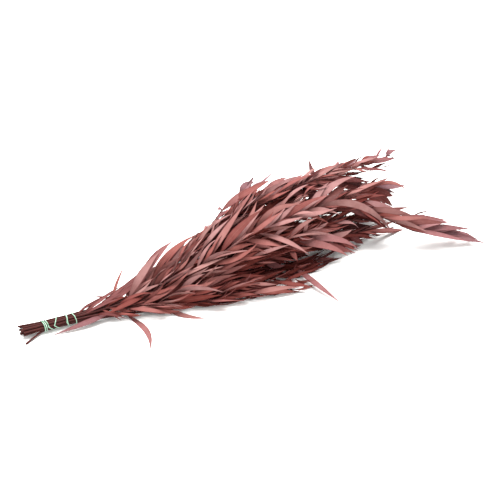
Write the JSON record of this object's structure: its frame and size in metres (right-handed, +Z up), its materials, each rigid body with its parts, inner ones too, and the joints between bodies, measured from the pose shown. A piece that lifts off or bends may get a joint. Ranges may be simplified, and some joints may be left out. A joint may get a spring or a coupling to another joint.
{
  "type": "bunch of dried eucalyptus",
  "caption": "Tied bunch of dried narrow-leaved eucalyptus, lying on its side: bare stems bound with thin string open into a dense flat fan of lance-shaped leaves.",
  "frame": {"origin": "under the middle of the bunch, on the surface that it lies on", "axes": "+X along the bunch from the cut stem ends to the leaf tips, +Y to the bunch's left side, +Z up from the surface that it lies on"},
  "size_m": [0.7002, 0.28, 0.113],
  "materials": {
    "eucalyptus": "dry matte, dusty rose leaves on dark red-brown stems",
    "string": "smooth pale green"
  },
  "bodies": {
    "root": {"leafy_stem_01": "eucalyptus", "leafy_stem_02": "eucalyptus", "leafy_stem_03": "eucalyptus", "leafy_stem_04": "eucalyptus", "leafy_stem_05": "eucalyptus", "leafy_stem_06": "eucalyptus", "leafy_stem_07": "eucalyptus", "leafy_stem_08": "eucalyptus", "leafy_stem_09": "eucalyptus", "leafy_stem_10": "eucalyptus", "leafy_stem_11": "eucalyptus", "leafy_stem_12": "eucalyptus", "leafy_stem_13": "eucalyptus", "leafy_stem_14": "eucalyptus", "binding_string": "string"}
  },
  "joints": []
}
